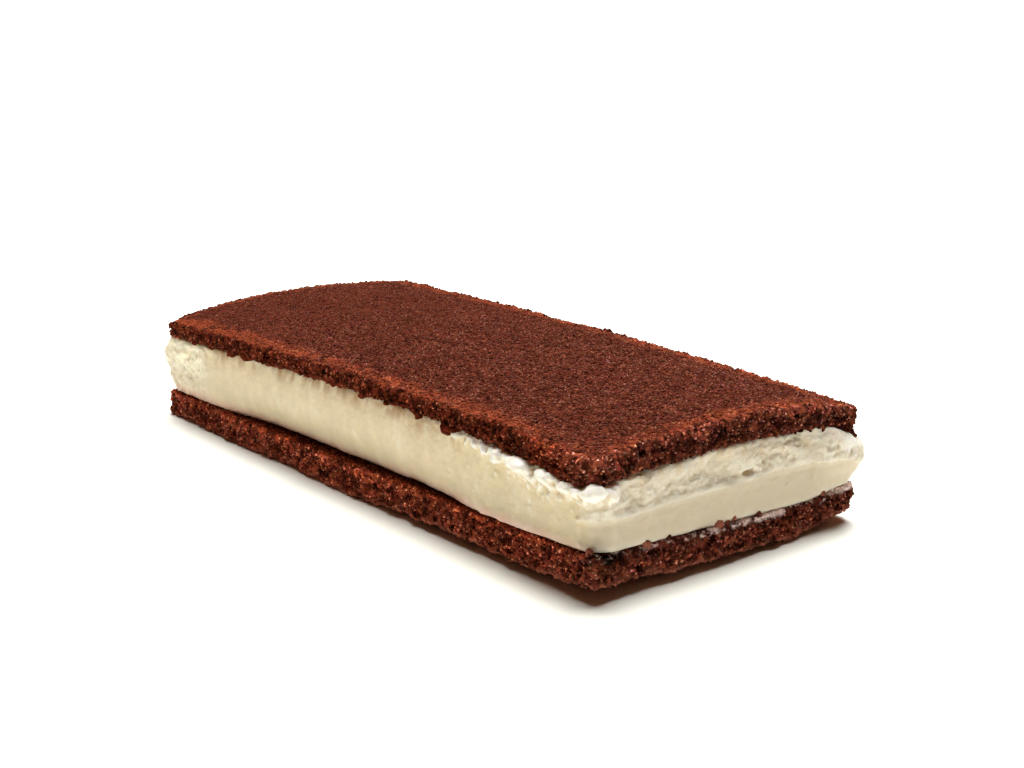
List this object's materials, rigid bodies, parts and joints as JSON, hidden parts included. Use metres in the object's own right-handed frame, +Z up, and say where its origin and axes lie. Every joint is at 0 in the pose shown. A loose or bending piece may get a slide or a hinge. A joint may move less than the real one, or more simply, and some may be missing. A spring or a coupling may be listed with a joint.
{
  "type": "milk slice cake",
  "caption": "Snack cake slice: a thick filling of smooth milk cream between a flat base sponge and an arched top sponge of dark cocoa, cut open at its ends and sides",
  "frame": {"origin": "on the table, under the middle of the slice's outline", "axes": "+X along the slice to the cut end that faces the viewer, +Y across it to the far long side, +Z up"},
  "size_m": [0.1036, 0.0458, 0.0185],
  "materials": {
    "cocoa_sponge": "matte crumb",
    "milk_cream": "soft satin"
  },
  "bodies": {
    "root": {"base_sponge": "cocoa_sponge", "milk_cream": "milk_cream", "top_sponge": "cocoa_sponge"}
  },
  "joints": []
}
